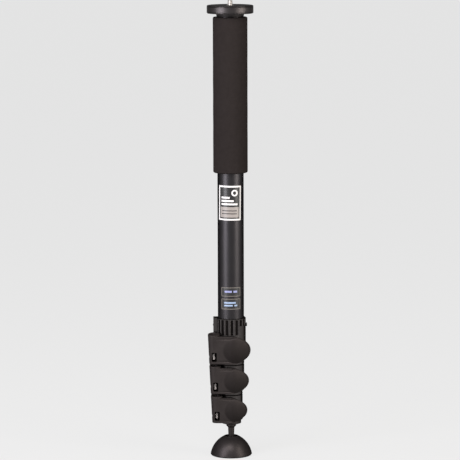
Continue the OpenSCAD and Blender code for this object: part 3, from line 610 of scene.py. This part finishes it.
mainLabel = {"wide": 31 * mm, "tall": 42.6 * mm, "turn": -5.0, "lean": -0.8, "corner": 0.8 * mm,
             "margin": 0.15 * mm, "rim": 2.1 * mm,
             "pale": (0.52, 0.505, 0.5), "paleWorn": (0.4, 0.385, 0.38),
             "grey": (0.24, 0.215, 0.2), "greyWorn": (0.16, 0.143, 0.135),
             "bandPlace": (0, -11.2 * mm), "bandHalf": (12.0 * mm, 6.4 * mm),
             "lineLevels": (-9.4 * mm, -13.0 * mm), "lineHalf": (9.6 * mm, 0.55 * mm),
             "barStart": -10.8 * mm, "barHalf": 1.1 * mm,
             "bars": [{"level": -1.4 * mm, "length": 21.0 * mm}, {"level": 2.6 * mm, "length": 16.0 * mm},
                      {"level": 6.6 * mm, "length": 11.0 * mm}],
             "ringPlace": (6.2 * mm, 12.4 * mm), "ringRadii": (2.2 * mm, 4.0 * mm)}


def paintMain(finish, ground, across, up, ink):
    # pale frame; low down a grey band with two dark lines, over it three stepped bars and a ring
    pale = finish.mix(0.35 * ink, mainLabel["pale"], mainLabel["paleWorn"])
    grey = finish.mix(ink, mainLabel["grey"], mainLabel["greyWorn"])
    band = boxMask(finish, across, up, mainLabel["bandPlace"], mainLabel["bandHalf"])
    paint = finish.mix(band, ground, grey)
    for level in mainLabel["lineLevels"]:
        line = boxMask(finish, across, up, (0, level), mainLabel["lineHalf"])
        paint = finish.mix(line, paint, ground)
    for bar in mainLabel["bars"]:
        centre = (bar["length"] / 2 + mainLabel["barStart"], bar["level"])
        stripe = boxMask(finish, across, up, centre, (bar["length"] / 2, mainLabel["barHalf"]))
        paint = finish.mix(stripe, paint, pale)
    ringAcross, ringUp = mainLabel["ringPlace"]
    away = ((across - ringAcross) ** 2.0 + (up - ringUp) ** 2.0) ** 0.5
    paint = finish.mix(inside(finish, away, *mainLabel["ringRadii"]), paint, pale)
    half = (mainLabel["wide"] / 2, mainLabel["tall"] / 2)
    rim = frameMask(finish, across, up, half, mainLabel["margin"], mainLabel["rim"])
    return finish.mix(rim, paint, pale)


stickers = {"wide": 26 * mm, "turn": 0.0, "lean": 0.3, "corner": 1.6 * mm, "lineOutset": 0.5 * mm,
            "lineInset": 1.15 * mm, "line": (0.14, 0.123, 0.108), "lineWorn": (0.1, 0.088, 0.077),
            "barWorn": (0.12, 0.13, 0.17),
            "upper": {"tint": (0.19, 0.2, 0.37),
                      "bars": [{"centre": (-3.4 * mm, 0.4 * mm), "half": (4.6 * mm, 1.2 * mm)},
                               {"centre": (5.6 * mm, 0.4 * mm), "half": (2.4 * mm, 1.2 * mm)}]},
            "lower": {"tint": (0.22, 0.3, 0.43),
                      "bars": [{"centre": (-1.2 * mm, 1.6 * mm), "half": (7.4 * mm, 1.0 * mm)},
                               {"centre": (-3.2 * mm, -1.8 * mm), "half": (5.4 * mm, 0.9 * mm)},
                               {"centre": (6.2 * mm, -1.8 * mm), "half": (1.8 * mm, 0.9 * mm)}]}}


def stickerPaint(node, sticker):
    # thin outline and plain bars
    low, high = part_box(node)
    half = (stickers["wide"] / 2, (high.z - low.z) / 2)

    def paint(finish, ground, across, up, ink):
        line = finish.mix(ink, stickers["line"], stickers["lineWorn"])
        pale = finish.mix(0.5 * ink, sticker["tint"], stickers["barWorn"])
        outline = frameMask(finish, across, up, half, stickers["lineOutset"], stickers["lineInset"])
        tone = finish.mix(outline, ground, line)
        for bar in sticker["bars"]:
            tone = finish.mix(boxMask(finish, across, up, bar["centre"], bar["half"]), tone, pale)
        return tone

    return paint


labelFilm("framed_label", "main_label", labelFinish("framed label", paintMain), mainLabel)
for level in ("upper", "lower"):
    stickerNode = level + "_sticker"
    stickerFinish = labelFinish(level + " bar sticker", stickerPaint(stickerNode, stickers[level]))
    labelFilm(level + "_bar_sticker", stickerNode, stickerFinish, stickers)
print("labels wrapped")


# Flip levers

lever = {"wall": 4.5 * mm, "gap": 0.5 * mm, "edge": 0.8 * mm, "skin": 0.03 * mm, "crease": 40,
         "barrelTop": 7.3 * mm, "barrelLow": 5.6 * mm, "barrelUp": 2.7 * mm, "camLift": 0.5 * mm,
         "slope": math.tan(math.radians(8)), "capSink": 1.6 * mm,
         "tipTurn": math.radians(20), "tipRound": 24 * mm, "tipFlat": 0.25, "touchMost": 0.999,
         "padRise": 1.5 * mm, "padGroove": 0.7 * mm, "padLip": 0.045, "padEdge": 1.4 * mm, "padCrown": 0.62,
         "padFade": 0.12,
         "windowLeft": 2.6 * mm, "windowRight": 3.6 * mm, "windowTall": 11.4 * mm, "windowRound": 1.2 * mm,
         "pocketRadius": 4.2 * mm, "pocketDeep": 10 * mm, "pocketShift": 1.5 * mm, "pocketBevel": 0.4 * mm,
         "seatPlay": 0.05 * mm, "seatRoom": 0.3 * mm, "slotHalf": 1.55 * mm, "reach": 22 * mm,
         "rows": 121, "columns": 168, "leadColumns": 25, "barrelColumns": 56, "webColumns": 34,
         "capRows": 25, "capColumns": 96, "cornerSteps": 8, "fanSteps": 32, "sides": 64}


def edgeInset(toEdge, rounding):
    # how far a quarter-round edge draws a wall in, by the distance left to the edge
    return rounding - np.sqrt(np.maximum(rounding ** 2 - np.maximum(rounding - toEdge, 0) ** 2, 0))


def leverTop(node):
    # height of the wrap's upper edge, under the barrel's sloping head
    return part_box(node)[1].z - lever["barrelUp"] - lever["slope"] * lever["barrelTop"]


def barrelRadius(node, height):
    # the barrel widens from its foot to the middle of its sloping head
    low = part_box(node)[0].z
    share = np.minimum((height - low) / (leverTop(node) + lever["barrelUp"] - low), 1)
    return lever["barrelLow"] + (lever["barrelTop"] - lever["barrelLow"]) * share


def ovalPad(node, x, z):
    # distance from the thumb pad's middle, 1 at its oval outline
    low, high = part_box(node)
    top = leverTop(node)
    left, right = lever["padEdge"] - high.x / 2, high.x - lever["padEdge"]
    tall = (top - low.z) / 2 - lever["padEdge"]
    return np.hypot(2 * (x - left) / (right - left) - 1, (z - (top + low.z) / 2) / tall)


def markLever(piece, node, pivot, collarRadius):
    # pad: painted shade on the outer face within the pad, from 0 at the lever's top to 1 at its foot, which
    # the finish also uses to make the pad a little smoother;
    # well: depth inside the window below the barrel's skin, in millimetres, which the finish uses as painted
    # shade
    x, y, z = vertexPlaces(piece).T
    front = collarRadius + lever["gap"] + lever["wall"] - lever["padGroove"] - lever["edge"]
    outside = np.hypot(x, y) > front
    low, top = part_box(node)[0].z, leverTop(node)
    down = np.clip((top - z) / (top - low), 0, 1)
    # painted shade on the pad: none at the lever's top, full at its foot
    mark = np.clip((1 - ovalPad(node, x, z)) / lever["padFade"], 0, 1) * down * outside * (y < 0)
    # the depth in the window, which the finish turns into painted shade
    depth = barrelRadius(node, z) - np.hypot(x - pivot[0], y - pivot[1] - lever["camLift"])
    depth = np.maximum(depth / mm, 0) * (np.abs(z - pivot[2]) < lever["windowTall"] / 2 + lever["skin"])
    for attribute, values in {"pad": mark, "well": depth}.items():
        layer = piece.data.attributes.new(attribute, "FLOAT", "POINT")
        layer.data.foreach_set("value", values.astype(np.float32))


def leverBody(name, node, pivot, collarRadius):
    # rows up the lever by columns round its plan: inner wall, round barrel, flat web and front wall to the
    # tip; towards the tip the rows close in on half an ellipse, and a domed oval pad swells the front
    low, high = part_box(node)
    top = leverTop(node)
    half, middle = (top - low.z) / 2, (top + low.z) / 2
    inner = collarRadius + lever["gap"]
    outer = inner + lever["wall"]
    centre = np.array([pivot[0], pivot[1] + lever["camLift"]])
    distance, bearing = np.hypot(*centre), math.atan2(centre[1], centre[0])
    tipAngle = lever["tipTurn"] - math.pi / 2
    along = np.array([math.cos(lever["tipTurn"]), math.sin(lever["tipTurn"])])
    tipEnd = (high.x - (outer - lever["edge"]) * math.cos(tipAngle)) / along[0]
    rise = np.sin(np.linspace(-math.pi / 2, math.pi / 2, lever["rows"]))[:, None]
    level = middle + half * rise
    barrel = barrelRadius(node, level)
    frontTouch = bearing + np.arccos((outer - barrel) / distance)
    innerTouch = bearing + np.arccos(np.minimum((inner + barrel) / distance, lever["touchMost"]))

    def wrap(radius, reached):
        # arc round the collar up to the turn, straight along the tip after it
        angle = tipAngle + np.minimum(reached, 0) / outer
        way = np.stack([np.cos(angle), np.sin(angle)], axis=-1)
        return radius * way + np.maximum(reached, 0)[..., None] * along, way

    def wall(radius):
        # one wall from the web to the tip: places, outward ways, shares of the height and insets at the edge
        first = outer * (frontTouch - tipAngle)
        reached = first + (tipEnd - first) * np.sin(np.linspace(0, math.pi / 2, lever["columns"]))[None, :]
        place, way = wrap(radius, reached)
        pastRound = wrap(outer, reached)[0][..., 0] - wrap(outer, np.array([[tipEnd]]))[0][..., 0]
        across = np.clip(1 + pastRound / lever["tipRound"], 0, 1)
        share = rise * np.sqrt(np.maximum(1 - across ** 2, 0))
        oval = np.hypot(across, share)
        slope = np.hypot(across / lever["tipRound"], share / half) / np.maximum(oval, 1e-9)
        toEdge = (1 - oval) / np.maximum(slope, lever["tipFlat"] / half)
        return place, way, share, edgeInset(toEdge, lever["edge"])[..., None]

    innerWall, innerWay, innerShare, innerInset = wall(inner)
    innerWall = innerWall + innerInset * innerWay
    frontWall, frontWay, frontShare, frontInset = wall(outer)
    padOval = ovalPad(node, frontWall[..., 0], middle + half * frontShare)
    swell = lever["padRise"] * np.clip(1 - padOval ** 2, 0, 1) ** lever["padCrown"]
    swell = swell - lever["padGroove"] * np.exp(-((padOval - 1) / lever["padLip"]) ** 2)
    frontWall = frontWall + (swell[..., None] - frontInset) * frontWay

    endInset = edgeInset(half * (1 - np.abs(rise)), lever["edge"])
    leadShare = np.linspace(0, 1, lever["leadColumns"])[None, 1:]
    leadAngle = frontTouch + (innerTouch - frontTouch) * leadShare
    lead = (inner + endInset)[..., None] * np.stack([np.cos(leadAngle), np.sin(leadAngle)], axis=-1)
    turnShare = np.linspace(0, 1, lever["barrelColumns"])[None, :]
    turn = innerTouch + math.pi + (frontTouch - innerTouch + math.pi) * turnShare
    barrelWall = centre + (barrel - endInset)[..., None] * np.stack([np.cos(turn), np.sin(turn)], axis=-1)
    webShare = np.linspace(0, 1, lever["webColumns"])[None, 1:-1, None]
    web = barrelWall[:, -1:] + (frontWall[:, :1] - barrelWall[:, -1:]) * webShare

    heel = np.concatenate([lead, barrelWall, web], axis=1)
    outline = np.concatenate([innerWall[:, ::-1], heel, frontWall], axis=1)
    heelShare = rise + np.zeros((1, heel.shape[1]))
    heights = middle + half * np.concatenate([innerShare[:, ::-1], heelShare, frontShare], axis=1)
    rows, columns = heights.shape
    strip = np.arange(lever["columns"] - 1)
    frontColumn = columns - lever["columns"] + strip
    innerColumn = lever["columns"] - 1 - strip
    edge = np.stack([innerColumn, frontColumn, frontColumn + 1, innerColumn - 1], axis=-1)
    cap = np.arange(lever["columns"] - 1, columns - lever["columns"] + 1)
    last = (rows - 1) * columns
    ends = edge.tolist() + (edge + last).tolist() + [cap.tolist(), (cap + last).tolist()]
    rings = np.concatenate([outline, heights[..., None]], axis=-1)
    return makePiece(name, rings, gridQuads(rows, columns) + ends, lever["crease"])


def barrelCap(node, pivot):
    # the barrel's head: a round a hair wider than the barrel, its sloping top edge rounded
    base = leverTop(node) - lever["capSink"]
    head = leverTop(node) + lever["barrelUp"]
    turn = np.linspace(0, 2 * math.pi, lever["capColumns"], endpoint=False)[None, :]
    slope = head + lever["slope"] * lever["barrelTop"] * np.sin(turn)
    height = base + (slope - base) * np.sin(np.linspace(0, math.pi / 2, lever["capRows"]))[:, None]
    radius = barrelRadius(node, height) + lever["skin"] - edgeInset(slope - height, lever["edge"])
    rings = [pivot[0] + radius * np.cos(turn), pivot[1] + lever["camLift"] + radius * np.sin(turn), height]
    return loft("barrel cap", np.stack(rings, axis=-1))


def leverCutters(node, boltNode, pivot, swing):
    # window to the bar, the bar's seat, the slot that the shank sweeps and the pocket in the barrel
    x, y, z = pivot
    reach, half = lever["reach"], lever["slotHalf"]
    left, right, rounding = x - lever["windowLeft"], x + lever["windowRight"], lever["windowRound"]
    sill, lintel = z - lever["windowTall"] / 2, z + lever["windowTall"] / 2
    window = roundedOutline([(left, sill, rounding), (right, sill, rounding), (right, lintel, rounding),
                             (left, lintel, rounding)], lever["cornerSteps"])
    barLow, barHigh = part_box(boltNode)
    seat = circleOutline((barHigh.x - barLow.x) / 2 + lever["seatPlay"], (x, y), lever["sides"])
    seatFoot, seatHead = barLow.z - lever["seatRoom"], barHigh.z + lever["seatRoom"]
    turn = math.pi / 2 + np.linspace(0, swing, lever["fanSteps"])
    fan = reach * np.stack([np.cos(turn), np.sin(turn)], axis=-1)
    across = half * np.array([math.cos(swing), math.sin(swing)])
    fan = np.concatenate([[[half, -half]], [[half, reach]], fan, fan[-1:] - across, [-across]])
    around = np.linspace(0, 2 * math.pi, lever["sides"], endpoint=False)[None, :]
    bevel, brow = lever["pocketBevel"], leverTop(node) + lever["barrelUp"]
    radius = lever["pocketRadius"] + np.array([0.0, 0.0, 2 * bevel])[:, None]
    slope = np.array([0.0, 1.0, 1.0])[:, None] * lever["slope"] * radius * np.sin(around)
    height = brow + np.array([-lever["pocketDeep"], -bevel, bevel])[:, None] + slope
    pocket = [x - lever["pocketShift"] + radius * np.cos(around),
              y + lever["camLift"] + radius * np.sin(around), height]
    return [
        prism("window cutter", window, y - reach, y, axis=1),
        prism("seat cutter", seat, seatFoot, seatHead, axis=2),
        prism("slot cutter", fan + np.array([x, y]), z - half, z + half, axis=2),
        loft("pocket cutter", np.stack(pocket, axis=-1)),
    ]


for lockName in lockNames:
    leverNode = lockName + "_lever"
    flip = joints[lockName + "_lever_flip"]
    pivot = np.array(flip["pos_m"])
    swing = math.radians(flip["range_deg"][1])
    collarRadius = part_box(lockName + "_collar")[1].x
    arm = leverBody(lockName + "_flip_arm", leverNode, pivot, collarRadius)
    boolean(arm, "UNION", [barrelCap(leverNode, pivot)], lever["crease"])
    cutters = leverCutters(leverNode, lockName + "_t_bolt", pivot, swing)
    boolean(arm, "DIFFERENCE", cutters, lever["crease"])
    markLever(arm, leverNode, pivot, collarRadius)
    dress(arm, finishes["lever_plastic"], "lever_plastic", lockName + "_flip_lever", leverNode)
    print(leverNode, "carved:", len(arm.data.polygons), "faces")


# Foot

foot = {"arc": 30.6 * mm, "sink": 3.7 * mm, "rim": 1.7 * mm, "lip": 0.8 * mm, "mouth": 7.0 * mm,
        "lipBend": (0.25, math.pi - 0.4), "mouthLow": 6.1 * mm, "socket": 12.02 * mm,
        "socketTop": 19.82 * mm, "sole": 19.52 * mm, "soleTop": 5.82 * mm, "soleRise": 0.3 * mm,
        "arcSteps": 72, "rimSteps": 10, "lipSteps": 8, "segments": 160, "crease": 30}


def footDome():
    # an arc from the rim to the mouth, its centre past the axis and below the floor, with a rounded rim and
    # lip, over the sockets' round chamber
    low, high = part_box("foot_dome")
    arc, sink, rim, mouth, halfLip = foot["arc"], foot["sink"], foot["rim"], foot["mouth"], foot["lip"] / 2
    lift, rimRadius = low.z + rim, high.x
    first, last = math.asin((lift + sink) / arc), math.asin((high.z + sink - halfLip) / arc)
    centre = rimRadius - arc * math.cos(first)
    angle = np.linspace(first, last, foot["arcSteps"])
    flank = np.stack([centre + arc * np.cos(angle), arc * np.sin(angle) - sink], axis=-1)
    sweep = np.linspace(-math.pi / 2, 0, foot["rimSteps"])[:-1]
    edge = np.stack([rimRadius - rim + rim * np.cos(sweep), lift + rim * np.sin(sweep)], axis=-1)
    bend = np.linspace(*foot["lipBend"], foot["lipSteps"])
    shelf = (flank[-1, 0] - mouth) / 2
    lip = np.stack([mouth + shelf * (1 + np.cos(bend)), high.z - halfLip * (1 - np.sin(bend))], axis=-1)
    chamber = np.array([[mouth, high.z - halfLip], [foot["mouthLow"], foot["socketTop"]],
                        [foot["socket"], foot["socketTop"]], [foot["socket"], foot["soleTop"]],
                        [foot["sole"], foot["soleTop"]], [foot["sole"], low.z + foot["soleRise"]]])
    profile = np.concatenate([edge, flank, lip, chamber])
    piece = revolve("domed_foot", profile, foot["segments"], foot["crease"])
    dress(piece, finishes["foot_rubber"], "foot_rubber", "foot", "foot_dome")


tread = {"hub": 0.6 * mm, "edge": 0.4 * mm, "pitch": 3.2 * mm, "depth": 0.8 * mm, "steep": 3, "ridge": 1.6,
         "columns": 240, "segments": 128, "crease": 30}


def soleTread():
    # a disc with ring grooves turned into its underside: a steep sine of the radius, cut off at both ends
    low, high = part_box("sole_pad")
    outer, hub, edge = high.x, tread["hub"], tread["edge"]
    radius = np.linspace(hub, outer - edge, tread["columns"])
    groove = np.clip(np.sin(2 * math.pi * radius / tread["pitch"]) * tread["steep"] - tread["ridge"], 0, 1)
    under = np.stack([radius, low.z + tread["depth"] * groove], axis=-1)
    side = np.array([[outer, low.z + edge], [outer, high.z], [hub, high.z]])
    piece = revolve("tread_pad", np.concatenate([under, side]), tread["segments"], tread["crease"])
    dress(piece, finishes["foot_rubber"], "foot_rubber", "foot", "sole_pad")


footDome()
soleTread()
print("foot turned")


# Floor, light and camera

studio = {"floorHalf": 40.0, "floorDrop": 0.05 * mm, "floorTone": 0.05, "floorGlow": 0.75, "world": 0.25,
          "aim": 0.3,
          "softboxes": [
              {"name": "left softbox", "bearing": -47.0, "away": 1.7, "height": 0.83,
               "wide": 0.8, "tall": 1.62, "power": 51.5, "tint": (0.96, 0.95, 1.0)},
              {"name": "right softbox", "bearing": 56.0, "away": 1.7, "height": 0.83,
               "wide": 0.8, "tall": 1.62, "power": 38.3, "tint": (1.0, 0.95, 0.88)},
              {"name": "front softbox", "bearing": -14.0, "away": 1.2, "height": 1.65,
               "wide": 1.0, "tall": 0.6, "power": 36.0, "tint": (1.0, 0.97, 0.95)},
          ]}


def paleFloor():
    # a wide flat sheet of one pale tone just under the sole
    half, drop = studio["floorHalf"], -studio["floorDrop"]
    corners = np.array([[-half, -half, drop], [half, -half, drop], [half, half, drop], [-half, half, drop]])
    floor = makePiece("pale_floor", corners, [[0, 1, 2, 3]])
    finish = Finish("pale floor", Base_Color=(studio["floorTone"],) * 3, Roughness=0.9,
                    Specular_IOR_Level=0.1, Emission_Color=(1.0, 1.0, 1.0),
                    Emission_Strength=studio["floorGlow"])
    coat(floor, finish.material)


def softbox(box):
    # a soft rectangle of light on a bearing round the object, turned to its middle
    bearing = math.radians(box["bearing"])
    light = bpy.data.lights.new(box["name"], "AREA")
    light.shape = "RECTANGLE"
    light.size, light.size_y = box["wide"], box["tall"]
    light.energy = box["power"]
    light.color = box["tint"]
    lamp = bpy.data.objects.new(box["name"], light)
    lamp.location = (box["away"] * math.sin(bearing), -box["away"] * math.cos(bearing), box["height"])
    target = Vector((0, 0, studio["aim"]))
    lamp.rotation_euler = (target - lamp.location).to_track_quat("-Z", "Y").to_euler()
    bpy.context.scene.collection.objects.link(lamp)


def studioAir():
    # even white light from all round, and colours shown as they are
    world = bpy.data.worlds.new("studio air")
    world.use_nodes = True
    background = world.node_tree.nodes["Background"]
    background.inputs["Color"].default_value = (1.0, 1.0, 1.0, 1.0)
    background.inputs["Strength"].default_value = studio["world"]
    bpy.context.scene.world = world
    bpy.context.scene.view_settings.view_transform = "Standard"


view = {"place": (-0.83 * mm, -3.3, 0.743), "down": 7.99, "roll": -0.163, "focalPixels": 2731.0,
        "imagePixels": 460.0, "sensor": 36.0, "clipEnd": 200.0}


def photoCamera():
    # stands where the photograph was taken from, looking down at the object
    camera = bpy.data.cameras.new("photo camera")
    camera.sensor_fit = "HORIZONTAL"
    camera.sensor_width = view["sensor"]
    camera.lens = view["focalPixels"] / view["imagePixels"] * view["sensor"]
    camera.clip_end = view["clipEnd"]
    viewer = bpy.data.objects.new("photo camera", camera)
    pitch = Matrix.Rotation(math.radians(90 - view["down"]), 4, "X")
    roll = Matrix.Rotation(math.radians(view["roll"]), 4, "Z")
    viewer.matrix_world = Matrix.Translation(view["place"]) @ (pitch @ roll)
    bpy.context.scene.collection.objects.link(viewer)
    bpy.context.scene.camera = viewer


paleFloor()
for box in studio["softboxes"]:
    softbox(box)
photoCamera()
studioAir()
print("studio lit")
